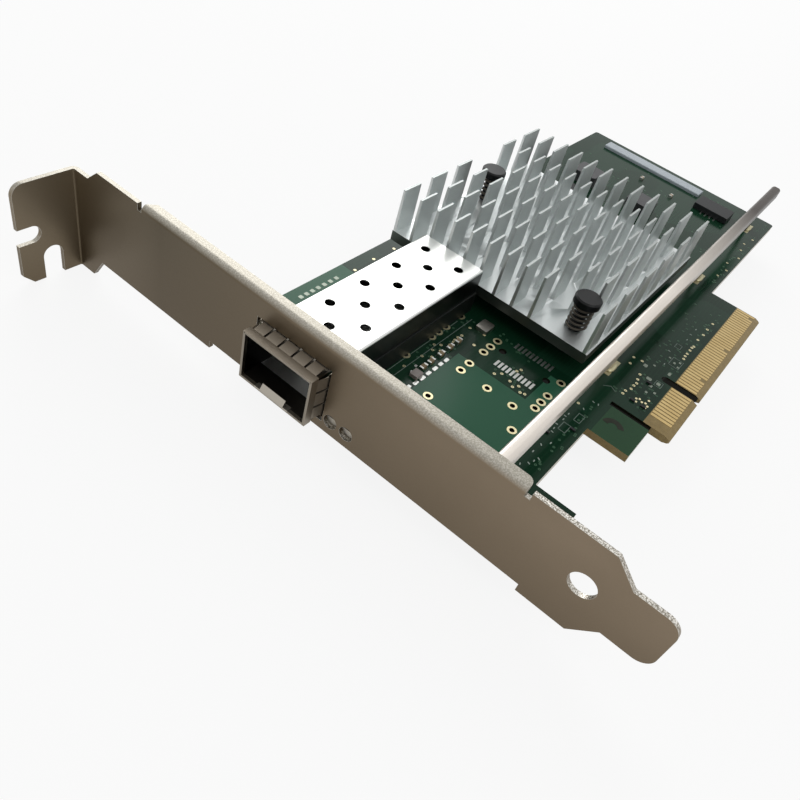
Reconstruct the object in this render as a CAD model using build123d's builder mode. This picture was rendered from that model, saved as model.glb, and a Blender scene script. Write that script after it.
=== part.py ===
from build123d import *
import os

# Network card with one optical port, on a full-height slot bracket.
# X runs from the bracket to the rear of the card, Y from the contact edge to the top edge
# and Z up from the component face. The origin is the middle of the connector's key, on the
# contact edge. All sizes are in millimetres.

# Circuit board
board_thickness = 1.57
board_height = 68.9
board_rear_x = 89.0
board_corner = 0.8
tongue_depth = 12.2
tongue_corner = 0.3
tongue_bevel = 0.45
tongue_bevel_run = 1.2
key_width = 1.9
key_depth = 8.25
hook_gap = 1.2
hook_length = 9.0
hook_drop = 8.3
foot_length = 14.6
foot_drop = 7.6

# Edge contacts, one row on each face
contact_pitch = 1.0
contact_width = 0.7
contact_length = 4.3
contact_setback = 1.3
contact_thickness = 0.05
key_to_contact = 1.5
near_contacts = 11
far_contacts = 38
near_margin = 3.3
far_margin = 0.65
short_contact_step = 1.1
short_contacts = (17, 31, 48)

# Slot bracket, folded from one sheet
sheet = 0.86
key_to_bracket = 59.05
bracket_height = 120.02
bracket_width = 18.42
bracket_below_face = 3.94
tip_drop = 14.94
bend_inside = 0.3
neck_width = 10.6
neck_low_z = 0.3
neck_drop = 7.5
taper_drop = 3.6
tip_radius = 2.6
latch_hole_diameter = 4.4
latch_hole_drop = 2.1
latch_hole_z = 5.9
flange_reach = 2.45
flange_low_y = 10.3
flange_to_ear = 18.48
flange_end_slope = 1.2
flange_corner = 1.2
flange_relief = 0.9
flange_relief_depth = 1.3
shoulder_gap = 7.2
shoulder_rise = 4.5
shoulder_step = 2.43
ear_low_reach = 4.1
ear_reach = 11.6
ear_corner = 2.2
ear_foot = 2.0
slot_width = 3.3
slot_depth = 4.35
slot_z = 1.85
notch_width = 3.8
notch_from_bracket = 5.45
notch_depth = 6.3
edge_step_low_y = 4.9
edge_step_over = 0.4
mount_tab_reach = 8.0
mount_tab_width = 7.0
mount_tab_low_y = 26.5
mount_tab_top_gap = 4.1
board_to_bracket = 0.3

# Screws that hold the board to the bracket's tabs
screw_inset = 3.9
screw_diameter = 3.0
screw_head_diameter = 5.6
screw_head_height = 2.0
screw_head_round = 0.7
screw_end = 0.5
screw_recess_width = 0.8
screw_recess_length = 3.4
screw_recess_depth = 0.9
screw_clearance = 0.15
thread_gap = 0.05

# Port cage and the empty footprint of a second one
port_from_top = 17.4
port_pitch = 23.15
cage_sheet = 0.3
cage_width = 14.0
cage_top_z = 9.3
cage_front = 3.5
cage_length = 47.0
cage_bend = 0.4
vent_diameter = 1.85
vent_pitch_x = 8.95
vent_pitch_y = 3.9
vent_inset = 16.1
vent_columns = 4
side_overlap = 4.2
side_setback = 1.0
lip_width = 5.0
lip_length = 0.6
lip_rise = 1.0
cage_pin_width = 0.7
cage_pin_below = 1.3
cage_pin_hole = 1.0
ring_width = 0.4
pad_thickness = 0.05
upper_pin_inset = (25.85, 15.85, 13.05, 8.25, 5.85, 3.35)
lower_pin_inset = (20.85, 12.95, 10.75, 8.35, 3.25)
inner_hole_inset = 15.8
inner_hole_rise = (1.35, -4.1)

# Spring collar round the mouth of the cage
cutout_gap = 0.8
collar_sheet = 0.15
collar_band = 1.5
collar_gap = 0.1
finger_slot = 0.4
corner_cut = 0.5
top_fingers = 5
side_fingers = 3

# Connector in the cage
connector_inset = 4.95
connector_length = 5.2
connector_width = 11.6
connector_height = 7.4
connector_standoff = 0.1
mouth_width = 9.4
mouth_height = 2.0
mouth_depth = 4.2
mouth_z = 3.3
peg_diameter = 1.5
peg_spacing = 9.8
peg_clearance = 0.05
lead_pitch = 0.86
lead_count = 10
lead_thickness = 0.2
lead_width = 0.3
lead_reach = 1.5
lead_rise = 0.9
pad_width = 0.5
pad_length = 1.8
pad_row_spacing = 7.3

# Link lights behind the bracket
light_drop = (9.42, 12.69)
light_hole_diameter = 2.6
light_hole_z = 0.3
light_body_width = 2.6
light_body_length = 3.2
light_body_height = 1.5

# Controller and heatsink
chip_inset_x = 17.05
chip_above_centre = 0.8
chip_side = 25.0
chip_height = 1.1
chip_standoff = 0.4
underfill_inset = 1.0
lid_side = 20.0
lid_height = 1.0
lid_corner = 1.0
thermal_pad_thickness = 0.5
sink_to_cage = 1.1
sink_length = 53.15
sink_centre_drop = 25.5
sink_width = 46.2
sink_base = 2.2
sink_height = 11.4
fin_length = 5.2
fin_pitch_x = 9.22
fin_thickness = 0.8
fin_tip = 0.5
fin_inset = 0.3
fin_pitch_y = 4.09

# Sprung push pins that hold the heatsink down
front_pin_inset_x = 5.45
front_pin_inset_y = 5.6
rear_pin_inset_x = 28.95
rear_pin_inset_y = 3.9
pin_room_width = 8.3
pin_cap_room = 0.3
pin_cap_diameter = 5.3
pin_cap_height = 1.5
pin_cap_round = 0.3
pin_cap_rise = 7.2
pin_stem_diameter = 2.3
pin_stem_clearance = 0.2
pin_board_hole = 3.2
pin_barb_diameter = 3.8
pin_barb_length = 1.7
pin_barb_gap = 0.2
spring_diameter = 4.2
spring_wire = 0.55
spring_turns = 5

# Folded stiffener rail on three legs
rail_sheet = 0.6
rail_width = 2.3
rail_low_y = 15.0
rail_top_z = 12.0
rail_side = 2.6
rail_rear_gap = 7.4
rail_bend = 0.75
front_leg_x = -6.2
middle_leg_x = 41.8
last_leg_margin = 0.2
leg_width = 4.0
leg_tongue_width = 2.0
leg_tongue_below = 1.2
leg_slot_clearance = 0.1
leg_pad_margin = 0.8

# Small parts on the board
crystal_inset = 2.45
crystal_drop = 12.3
crystal_length = 3.2
crystal_width = 2.5
crystal_height = 0.9
inductor_inset = 23.6
inductor_drop = 11.6
inductor_length = 1.9
inductor_width = 1.6
inductor_height = 0.7
side_capacitor_inset = (21.05, 18.75, 15.65, 12.75, 10.05)
side_capacitor_drop = 11.3
capacitor_length = 1.6
capacitor_width = 0.8
capacitor_height = 0.7
capacitor_cap = 0.35
rear_capacitor_inset = (14.2, 15.4)
rear_capacitor_y = (47.1, 37.6)
resistor_length = 1.0
resistor_width = 0.5
resistor_height = 0.35
resistors_at = ((-11.4, 9.6), (-11.4, 7.4), (-4.0, 9.4), (-31.8, 16.9), (-27.6, 13.9))
flash_rear_gap = 8.3
flash_y = 26.6
flash_length = 6.2
flash_width = 9.4
flash_height = 1.5
flash_leads = 4
flash_lead_pitch = 1.27
flash_lead_width = 0.42
flash_lead_reach = 1.0
flash_lead_thickness = 0.2
flash_standoff = 0.15
strip_rear_gap = 3.4
strip_length = 30.0
strip_top_gap = 6.3
strip_width = 3.8
strip_height = 0.8
regulator_gap = 7.3
regulator_drop = 12.4
regulator_side = 5.0
regulator_height = 0.9
coil_gap = 16.0
coil_drop = 12.4
coil_side = 6.6
coil_height = 2.8
coil_corner = 0.9
coil_pitch = 16.0
coil_count = 2

# Places that follow from the sizes above
board_bottom_z = -board_thickness
bracket_front_x = -key_to_bracket
bracket_back_x = bracket_front_x + sheet
board_front_x = bracket_back_x + board_to_bracket
bracket_low_z = -bracket_below_face
bracket_high_z = bracket_low_z + bracket_width
ear_top_y = bracket_height - tip_drop
flange_high_y = ear_top_y - flange_to_ear
ear_low_z = bracket_low_z - ear_low_reach
ear_high_z = bracket_high_z - shoulder_step
ear_out_x = bracket_front_x - ear_reach
tab_low_z = board_bottom_z - sheet
tab_rear_x = bracket_back_x + mount_tab_reach
screw_x = tab_rear_x - screw_inset
screw_y = (mount_tab_low_y, board_height - mount_tab_top_gap)
edge_step_high_y = board_height + edge_step_over
near_first_x = -key_to_contact - (near_contacts - 1) * contact_pitch
far_last_x = key_to_contact + (far_contacts - 1) * contact_pitch
tongue_near_x = near_first_x - near_margin
tongue_far_x = far_last_x + far_margin
hook_rear_x = tongue_near_x - hook_gap
hook_front_x = hook_rear_x - hook_length
foot_rear_x = board_front_x + foot_length
port_y = board_height - port_from_top
second_port_y = port_y - port_pitch
light_y = [port_y - drop for drop in light_drop]
cage_front_x = bracket_front_x - cage_front
cage_rear_x = cage_front_x + cage_length
cage_low_y = port_y - cage_width / 2
cage_high_y = port_y + cage_width / 2
floor_z = pad_thickness
shell_low_z = floor_z + cage_sheet
connector_x = cage_rear_x - connector_inset
mouth_tall = cage_top_z - floor_z
mouth_middle_z = floor_z + mouth_tall / 2
pin_row_offset = cage_width / 2 + cage_sheet / 2
ring_diameter = cage_pin_hole + 2 * ring_width
sink_front_x = cage_rear_x + sink_to_cage
sink_rear_x = sink_front_x + sink_length
sink_centre_y = board_height - sink_centre_drop
sink_low_y = sink_centre_y - sink_width / 2
sink_high_y = sink_low_y + sink_width
chip_x = sink_front_x + chip_inset_x
chip_y = sink_centre_y + chip_above_centre
lid_z = chip_standoff + chip_height
sink_z = lid_z + lid_height + thermal_pad_thickness
sink_face_z = sink_z + sink_base
sink_top_z = sink_z + sink_height
push_pins_at = (
    (sink_front_x + front_pin_inset_x, sink_low_y + front_pin_inset_y),
    (sink_front_x + rear_pin_inset_x, sink_high_y - rear_pin_inset_y),
)
cap_z = sink_face_z + pin_cap_rise - pin_cap_height
rail_rear_x = board_rear_x - rail_rear_gap
rail_high_y = rail_low_y + rail_width
leg_x = (front_leg_x, middle_leg_x, rail_rear_x - last_leg_margin - leg_width / 2)
leg_y = rail_high_y - rail_sheet / 2


def standing_box(x, y, z, length, width, height, mode=Mode.ADD):
    # A block with its centre over x, y and its lower face at z.
    with Locations((x, y, z)):
        Box(length, width, height, align=(Align.CENTER, Align.CENTER, Align.MIN), mode=mode)


def spanning_box(low, high, mode=Mode.ADD):
    # A block between its lowest and its highest corner.
    with Locations(low):
        Box(high[0] - low[0], high[1] - low[1], high[2] - low[2], align=Align.MIN, mode=mode)


def standing_pin(x, y, z, diameter, height, mode=Mode.ADD):
    # A round pin along Z with its lower end at z.
    with Locations((x, y, z)):
        Cylinder(diameter / 2, height, align=(Align.CENTER, Align.CENTER, Align.MIN), mode=mode)


def board_hole(x, y, diameter):
    standing_pin(x, y, board_bottom_z, diameter, board_thickness, Mode.SUBTRACT)


def cage_pin_places(middle_y):
    # Where the press-fit pins of a cage go through the board.
    high_row = [(cage_rear_x - inset, middle_y + pin_row_offset) for inset in upper_pin_inset]
    low_row = [(cage_rear_x - inset, middle_y - pin_row_offset) for inset in lower_pin_inset]
    return high_row + low_row


def plated_hole_places(middle_y):
    # The pins' holes and the two ground holes under the cage.
    inner = [(cage_rear_x - inner_hole_inset, middle_y + rise) for rise in inner_hole_rise]
    return cage_pin_places(middle_y) + inner


def peg_places(middle_y):
    return [(connector_x, middle_y + side * peg_spacing / 2) for side in (-1, 1)]


def edge_near(part, x=None, y=None, z=None, along=Axis.Y):
    # Edges of a part along one axis whose middle has the given coordinates.
    chosen = part.edges().filter_by(along)
    for value, axis in ((x, Axis.X), (y, Axis.Y), (z, Axis.Z)):
        if value is not None:
            chosen = chosen.filter_by_position(axis, value - 0.01, value + 0.01)
    return chosen


# Circuit board: outline with tongue, hook and foot, then every hole through it
with BuildPart() as circuit_board:
    with BuildSketch(Plane.XY.offset(board_bottom_z)):
        with BuildLine():
            Polyline(
                (board_front_x, board_height),
                (board_front_x, tongue_depth - foot_drop),
                (foot_rear_x, tongue_depth - foot_drop),
                (foot_rear_x, tongue_depth),
                (hook_front_x, tongue_depth),
                (hook_front_x, tongue_depth - hook_drop),
                (hook_rear_x, tongue_depth - hook_drop),
                (hook_rear_x, tongue_depth),
                (tongue_near_x, tongue_depth),
                (tongue_near_x, tongue_corner),
                (tongue_near_x + tongue_corner, 0),
                (tongue_far_x - tongue_corner, 0),
                (tongue_far_x, tongue_corner),
                (tongue_far_x, tongue_depth),
                (board_rear_x, tongue_depth),
                (board_rear_x, board_height),
                close=True,
            )
        make_face()
        key_straight = key_depth - key_width / 2
        with Locations((0, key_straight / 2)):
            Rectangle(key_width, key_straight, mode=Mode.SUBTRACT)
        with Locations((0, key_straight)):
            Circle(key_width / 2, mode=Mode.SUBTRACT)
    extrude(amount=board_thickness)
    fillet(edge_near(circuit_board, x=board_rear_x, along=Axis.Z), board_corner)
    # The bevel of the contact edge, on both faces
    for face_z, inward in ((0, -tongue_bevel), (board_bottom_z, tongue_bevel)):
        with BuildSketch(Plane.YZ.offset(tongue_near_x)):
            with BuildLine():
                Polyline((0, face_z), (tongue_bevel_run, face_z), (0, face_z + inward), close=True)
            make_face()
        extrude(amount=tongue_far_x - tongue_near_x, mode=Mode.SUBTRACT)
    for y in screw_y:
        board_hole(screw_x, y, screw_diameter + 2 * screw_clearance)
    for x, y in push_pins_at:
        board_hole(x, y, pin_board_hole)
    for middle_y in (port_y, second_port_y):
        for x, y in plated_hole_places(middle_y):
            board_hole(x, y, cage_pin_hole)
        for x, y in peg_places(middle_y):
            board_hole(x, y, peg_diameter)
    for x in leg_x:
        standing_box(x, leg_y, board_bottom_z, leg_tongue_width + 2 * leg_slot_clearance,
                     rail_sheet + 2 * leg_slot_clearance, board_thickness, Mode.SUBTRACT)

# Gold edge contacts, three of them short on the component face
near_contact_x = [near_first_x + i * contact_pitch for i in range(near_contacts)]
far_contact_x = [key_to_contact + i * contact_pitch for i in range(far_contacts)]
contact_x = near_contact_x + far_contact_x
contact_high_y = contact_setback + contact_length

with BuildPart() as top_contacts:
    for number, x in enumerate(contact_x, start=1):
        low_y = contact_setback
        if number in short_contacts:
            low_y += short_contact_step
        spanning_box((x - contact_width / 2, low_y, 0),
                     (x + contact_width / 2, contact_high_y, contact_thickness))

with BuildPart() as bottom_contacts:
    for x in contact_x:
        spanning_box((x - contact_width / 2, contact_setback, board_bottom_z - contact_thickness),
                     (x + contact_width / 2, contact_high_y, board_bottom_z))

# Gold rings round the plated holes of both ports
with BuildPart() as port_rings:
    with BuildSketch():
        for middle_y in (port_y, second_port_y):
            with Locations(plated_hole_places(middle_y)):
                Circle(ring_diameter / 2)
        for middle_y in (port_y, second_port_y):
            with Locations(plated_hole_places(middle_y)):
                Circle(cage_pin_hole / 2, mode=Mode.SUBTRACT)
    extrude(amount=pad_thickness)

# Tinned pads for the connectors of both ports
with BuildPart() as connector_pads:
    with BuildSketch():
        for middle_y in (port_y, second_port_y):
            with Locations((connector_x, middle_y)):
                with GridLocations(pad_row_spacing, lead_pitch, 2, lead_count):
                    Rectangle(pad_length, pad_width)
    extrude(amount=pad_thickness)

# Slot bracket: plate, flange, screw ear and two mounting tabs folded from one sheet
with BuildPart() as bracket:
    with BuildSketch(Plane.YZ.offset(bracket_front_x)):
        plate_end_y = ear_top_y - shoulder_gap
        shoulder_y = ear_top_y - shoulder_rise
        relief_z = bracket_high_z - flange_relief_depth
        with BuildLine():
            Polyline(
                (ear_top_y, ear_high_z),
                (shoulder_y, ear_high_z),
                (plate_end_y, bracket_high_z),
                (flange_high_y + flange_relief, bracket_high_z),
                (flange_high_y + flange_relief, relief_z),
                (flange_high_y, relief_z),
                (flange_high_y, bracket_high_z),
                (flange_low_y, bracket_high_z),
                (flange_low_y, relief_z),
                (flange_low_y - flange_relief, relief_z),
                (flange_low_y - flange_relief, bracket_high_z),
                (-taper_drop, bracket_high_z),
                (-neck_drop, neck_low_z + neck_width),
                (-tip_drop, neck_low_z + neck_width),
                (-tip_drop, neck_low_z),
                (-neck_drop, neck_low_z),
                (-taper_drop, bracket_low_z),
                (edge_step_low_y, bracket_low_z),
                (edge_step_low_y, tab_low_z),
                (edge_step_high_y, tab_low_z),
                (edge_step_high_y, bracket_low_z),
                (plate_end_y, bracket_low_z),
                (shoulder_y, ear_low_z),
                (ear_top_y, ear_low_z),
                close=True,
            )
        make_face()
        with Locations((-latch_hole_drop, latch_hole_z)):
            Circle(latch_hole_diameter / 2, mode=Mode.SUBTRACT)
        with Locations((port_y, mouth_middle_z)):
            Rectangle(cage_width + 2 * cutout_gap, mouth_tall + 2 * cutout_gap, mode=Mode.SUBTRACT)
        with Locations([(y, light_hole_z) for y in light_y]):
            Circle(light_hole_diameter / 2, mode=Mode.SUBTRACT)
    extrude(amount=sheet)
    fillet(edge_near(bracket, y=-tip_drop, along=Axis.X), tip_radius)
    # The ear that is screwed to the chassis, with its open slot and a notch
    with BuildSketch(Plane.XZ.offset(-ear_top_y)):
        with BuildLine():
            Polyline(
                (bracket_back_x, ear_high_z),
                (ear_out_x, ear_high_z),
                (ear_out_x, ear_low_z + ear_foot),
                (ear_out_x + ear_foot, ear_low_z),
                (bracket_back_x, ear_low_z),
                close=True,
            )
        make_face()
        slot_straight = slot_depth - slot_width / 2
        with Locations((ear_out_x + slot_straight, slot_z)):
            Circle(slot_width / 2, mode=Mode.SUBTRACT)
        with Locations((ear_out_x + slot_straight / 2, slot_z)):
            Rectangle(slot_straight, slot_width, mode=Mode.SUBTRACT)
        notch_x = bracket_front_x - notch_from_bracket
        notch_straight = notch_depth - notch_width / 2
        with Locations((notch_x, ear_low_z + notch_straight)):
            Circle(notch_width / 2, mode=Mode.SUBTRACT)
        with Locations((notch_x, ear_low_z + notch_straight / 2)):
            Rectangle(notch_width, notch_straight, mode=Mode.SUBTRACT)
    extrude(amount=sheet)
    fillet(edge_near(bracket, x=ear_out_x, z=ear_high_z, along=Axis.Y), ear_corner)
    # The flange along the component side
    with BuildSketch(Plane.XY.offset(bracket_high_z)):
        flange_back_x = bracket_front_x + flange_reach
        with BuildLine():
            Polyline(
                (bracket_front_x, flange_low_y),
                (flange_back_x, flange_low_y),
                (flange_back_x, flange_high_y - flange_end_slope),
                (bracket_back_x, flange_high_y),
                (bracket_front_x, flange_high_y),
                close=True,
            )
        make_face()
    extrude(amount=-sheet)
    fillet(edge_near(bracket, x=flange_back_x, y=flange_low_y, along=Axis.Z), flange_corner)
    # The folds of the flange and the ear are round
    bend_outside = bend_inside + sheet
    flange_fold = edge_near(bracket, x=bracket_front_x, z=bracket_high_z)
    fillet(flange_fold.filter_by_position(Axis.Y, flange_low_y, flange_high_y), bend_outside)
    fillet(edge_near(bracket, x=bracket_back_x, z=bracket_high_z - sheet), bend_inside)
    fillet(edge_near(bracket, x=bracket_back_x, y=ear_top_y, along=Axis.Z), bend_outside)
    fillet(edge_near(bracket, x=bracket_front_x, y=ear_top_y - sheet, along=Axis.Z), bend_inside)
    # The two tabs that lie under the board, with threaded holes
    for y in screw_y:
        spanning_box((bracket_back_x, y - mount_tab_width / 2, tab_low_z),
                     (tab_rear_x, y + mount_tab_width / 2, board_bottom_z))
        standing_pin(screw_x, y, tab_low_z, screw_diameter + 2 * thread_gap, sheet, Mode.SUBTRACT)

# Two cross-recessed screws from the component face into the tabs
with BuildPart() as bracket_screws:
    for y in screw_y:
        standing_pin(screw_x, y, tab_low_z - screw_end, screw_diameter,
                     screw_end + sheet + board_thickness)
        standing_pin(screw_x, y, 0, screw_head_diameter, screw_head_height)
    fillet(bracket_screws.edges().group_by(Axis.Z)[-1], screw_head_round)
    recess_z = screw_head_height - screw_recess_depth
    for y in screw_y:
        for length, width in ((screw_recess_length, screw_recess_width),
                              (screw_recess_width, screw_recess_length)):
            standing_box(screw_x, y, recess_z, length, width, screw_recess_depth, Mode.SUBTRACT)

# Cage shell: roof, sides and rear wall of one folded sheet, with three rows of vents
with BuildPart() as cage_shell:
    spanning_box((cage_front_x, cage_low_y, shell_low_z), (cage_rear_x, cage_high_y, cage_top_z))
    fillet(edge_near(cage_shell, z=cage_top_z, along=Axis.X), cage_bend)
    spanning_box((cage_front_x, cage_low_y + cage_sheet, shell_low_z),
                 (cage_rear_x - cage_sheet, cage_high_y - cage_sheet, cage_top_z - cage_sheet),
                 Mode.SUBTRACT)
    vents_middle_x = cage_front_x + vent_inset + (vent_columns - 1) * vent_pitch_x / 2
    with BuildSketch(Plane.XY.offset(cage_top_z)):
        with Locations((vents_middle_x, port_y)):
            with GridLocations(vent_pitch_x, 2 * vent_pitch_y, vent_columns, 2):
                Circle(vent_diameter / 2)
        with Locations((vents_middle_x - vent_pitch_x / 2, port_y)):
            with GridLocations(vent_pitch_x, vent_pitch_y, vent_columns, 1):
                Circle(vent_diameter / 2)
    extrude(amount=-cage_sheet, mode=Mode.SUBTRACT)

# Cage floor: bottom sheet, low outer sides, press-fit pins and the sprung latch lip
with BuildPart() as cage_floor:
    floor_rear_x = connector_x - connector_length / 2 - lead_reach
    spanning_box((cage_front_x, cage_low_y, floor_z), (floor_rear_x, cage_high_y, shell_low_z))
    for side in (-1, 1):
        with Locations(((bracket_back_x + side_setback + cage_rear_x) / 2,
                        port_y + side * pin_row_offset,
                        floor_z)):
            Box(cage_rear_x - bracket_back_x - side_setback, cage_sheet, side_overlap,
                align=(Align.CENTER, Align.CENTER, Align.MIN))
    for x, y in cage_pin_places(port_y):
        standing_box(x, y, board_bottom_z - cage_pin_below, cage_pin_width, cage_sheet,
                     cage_pin_below + board_thickness + floor_z)
    with BuildSketch(Plane.XZ.offset(-port_y - lip_width / 2)):
        with BuildLine():
            Polyline(
                (cage_front_x, floor_z),
                (cage_front_x + lip_length, floor_z + lip_rise),
                (cage_front_x + lip_length, floor_z + lip_rise + cage_sheet),
                (cage_front_x, shell_low_z),
                close=True,
            )
        make_face()
    extrude(amount=lip_width)

# Spring collar: a band round the cage's mouth with fingers that spread to the bracket
with BuildPart() as spring_collar:
    band_rear_x = cage_front_x + collar_band
    finger_rear_x = bracket_back_x
    finger_spread = cutout_gap - collar_gap
    for inset, mode in ((0, Mode.ADD), (collar_sheet, Mode.SUBTRACT)):
        for x, spread in ((band_rear_x, collar_sheet), (finger_rear_x, finger_spread)):
            with BuildSketch(Plane.YZ.offset(x)):
                with Locations((port_y, mouth_middle_z)):
                    Rectangle(cage_width + 2 * (spread - inset), mouth_tall + 2 * (spread - inset))
        loft(mode=mode)
    slot_x = (band_rear_x + finger_rear_x) / 2
    slot_length = finger_rear_x - band_rear_x
    tall = mouth_tall + 2 * cutout_gap
    wide = cage_width + 2 * cutout_gap
    with Locations((slot_x, port_y, mouth_middle_z)):
        with GridLocations(0, cage_width / top_fingers, 1, top_fingers - 1):
            Box(slot_length, finger_slot, tall, mode=Mode.SUBTRACT)
    with BuildSketch(Plane.YZ.offset(band_rear_x)):
        with Locations((port_y, mouth_middle_z)):
            with GridLocations(1, mouth_tall / side_fingers, 1, side_fingers - 1):
                Rectangle(wide, finger_slot)
            with GridLocations(cage_width, mouth_tall, 2, 2):
                Rectangle(2 * corner_cut, 2 * corner_cut)
            with GridLocations(cage_width + cutout_gap, mouth_tall + cutout_gap, 2, 2):
                Rectangle(cutout_gap, cutout_gap)
    extrude(amount=slot_length, mode=Mode.SUBTRACT)
    with BuildSketch(Plane.YZ.offset(cage_front_x)):
        with Locations((port_y, mouth_middle_z)):
            Rectangle(cage_width + 2 * collar_sheet, mouth_tall + 2 * collar_sheet)
            Rectangle(cage_width, mouth_tall, mode=Mode.SUBTRACT)
    extrude(amount=collar_band)

# Connector: moulded receptacle in the cage, its mouth towards the bracket
with BuildPart() as port_connector:
    standing_box(connector_x, port_y, connector_standoff, connector_length, connector_width,
                 connector_height)
    connector_front_x = connector_x - connector_length / 2
    standing_box(connector_front_x + mouth_depth / 2, port_y, mouth_z, mouth_depth, mouth_width,
                 mouth_height, Mode.SUBTRACT)
    for x, y in peg_places(port_y):
        standing_pin(x, y, board_bottom_z, peg_diameter - 2 * peg_clearance,
                     board_thickness + connector_standoff)

# Connector leads: twenty bent strips from the receptacle's sides to the pads
with BuildPart() as connector_leads:
    for side in (-1, 1):
        inner_x = connector_x + side * connector_length / 2
        with Locations((inner_x + side * lead_reach / 2, port_y, pad_thickness + lead_thickness / 2)):
            with GridLocations(0, lead_pitch, 1, lead_count):
                Box(lead_reach, lead_width, lead_thickness)
        with Locations((inner_x + side * lead_thickness / 2, port_y, pad_thickness + lead_rise / 2)):
            with GridLocations(0, lead_pitch, 1, lead_count):
                Box(lead_thickness, lead_width, lead_rise)

# Two link lights, right-angle parts whose faces look out through the bracket
with BuildPart() as link_lights:
    for y in light_y:
        spanning_box((board_front_x, y - light_body_width / 2, 0),
                     (board_front_x + light_body_length, y + light_body_width / 2, light_body_height))

# Controller: substrate with its underfill, then the metal lid and the thermal pad
with BuildPart() as controller_chip:
    standing_box(chip_x, chip_y, 0, chip_side - 2 * underfill_inset, chip_side - 2 * underfill_inset,
                 chip_standoff)
    standing_box(chip_x, chip_y, chip_standoff, chip_side, chip_side, chip_height)

with BuildPart() as controller_lid:
    standing_box(chip_x, chip_y, lid_z, lid_side, lid_side, lid_height)
    fillet(controller_lid.edges().filter_by(Axis.Z), lid_corner)

with BuildPart() as thermal_pad:
    standing_box(chip_x, chip_y, lid_z + lid_height, lid_side, lid_side, thermal_pad_thickness)

# Heatsink: an extruded comb of tapered fins, cross-cut into columns, with room for two pins
with BuildPart() as heatsink:
    fin_rows = int((sink_width - fin_inset - fin_thickness) // fin_pitch_y) + 1
    fin_columns = int((sink_length - fin_length) // fin_pitch_x) + 1
    with BuildSketch(Plane.YZ.offset(sink_front_x)):
        with Locations((sink_low_y + sink_width / 2, sink_z + sink_base / 2)):
            Rectangle(sink_width, sink_base)
        for row in range(fin_rows):
            fin_y = sink_low_y + fin_inset + row * fin_pitch_y
            shrink = (fin_thickness - fin_tip) / 2
            with BuildLine():
                Polyline(
                    (fin_y, sink_z),
                    (fin_y + fin_thickness, sink_z),
                    (fin_y + fin_thickness - shrink, sink_top_z),
                    (fin_y + shrink, sink_top_z),
                    close=True,
                )
            make_face()
    extrude(amount=sink_length)
    for column in range(1, fin_columns):
        cut_high_x = sink_front_x + column * fin_pitch_x
        spanning_box((cut_high_x - fin_pitch_x + fin_length, sink_low_y, sink_face_z),
                     (cut_high_x, sink_high_y, sink_top_z), Mode.SUBTRACT)
    for x, y in push_pins_at:
        column = round((x - sink_front_x - fin_length / 2) / fin_pitch_x)
        column_x = sink_front_x + column * fin_pitch_x
        cap_reach = pin_cap_diameter / 2 + pin_cap_room
        spanning_box((min(column_x, x - cap_reach), y - pin_room_width / 2, sink_face_z),
                     (max(column_x + fin_length, x + cap_reach), y + pin_room_width / 2, sink_top_z),
                     Mode.SUBTRACT)
        standing_pin(x, y, sink_z, pin_stem_diameter + 2 * pin_stem_clearance, sink_base,
                     Mode.SUBTRACT)

# Push pins: cap, stem and a barb that snaps in under the board
with BuildPart() as push_pins:
    barb_top_z = board_bottom_z - pin_barb_gap
    for x, y in push_pins_at:
        with BuildSketch(Plane(origin=(x, y, 0), x_dir=(1, 0, 0), z_dir=(0, -1, 0))):
            with BuildLine():
                Polyline(
                    (0, cap_z + pin_cap_height),
                    (pin_cap_diameter / 2 - pin_cap_round, cap_z + pin_cap_height),
                    (pin_cap_diameter / 2, cap_z + pin_cap_height - pin_cap_round),
                    (pin_cap_diameter / 2, cap_z),
                    (pin_stem_diameter / 2, cap_z),
                    (pin_stem_diameter / 2, barb_top_z),
                    (pin_barb_diameter / 2, barb_top_z),
                    (pin_stem_diameter / 4, barb_top_z - pin_barb_length),
                    (0, barb_top_z - pin_barb_length),
                    close=True,
                )
            make_face()
        revolve(axis=Axis((x, y, 0), (0, 0, 1)))

# Coil springs between the heatsink's base and the caps
with BuildPart() as pin_springs:
    coil_radius = (spring_diameter - spring_wire) / 2
    coil_rise = cap_z - sink_face_z - spring_wire
    for x, y in push_pins_at:
        with BuildLine() as coil:
            Helix(pitch=coil_rise / spring_turns, height=coil_rise, radius=coil_radius,
                  center=(x, y, sink_face_z + spring_wire / 2))
        with BuildSketch(Plane(origin=coil.line @ 0, z_dir=coil.line % 0)):
            Circle(spring_wire / 2)
        sweep(path=coil.line, is_frenet=True)

# Stiffener rail: an upturned channel that runs from the bracket to the rear on three legs
with BuildPart() as stiffener_rail:
    with BuildSketch(Plane.YZ.offset(bracket_back_x)):
        rail_middle_y = rail_low_y + rail_width / 2
        with Locations((rail_middle_y, rail_top_z - rail_side / 2)):
            Rectangle(rail_width, rail_side)
    extrude(amount=rail_rear_x - bracket_back_x)
    fillet(edge_near(stiffener_rail, z=rail_top_z, along=Axis.X), rail_bend)
    spanning_box((bracket_back_x, rail_low_y + rail_sheet, rail_top_z - rail_side),
                 (rail_rear_x, rail_high_y - rail_sheet, rail_top_z - rail_sheet), Mode.SUBTRACT)
    for x in leg_x:
        standing_box(x, leg_y, pad_thickness, leg_width, rail_sheet,
                     rail_top_z - rail_side - pad_thickness)
        standing_box(x, leg_y, board_bottom_z - leg_tongue_below, leg_tongue_width, rail_sheet,
                     leg_tongue_below + board_thickness + pad_thickness)

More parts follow.
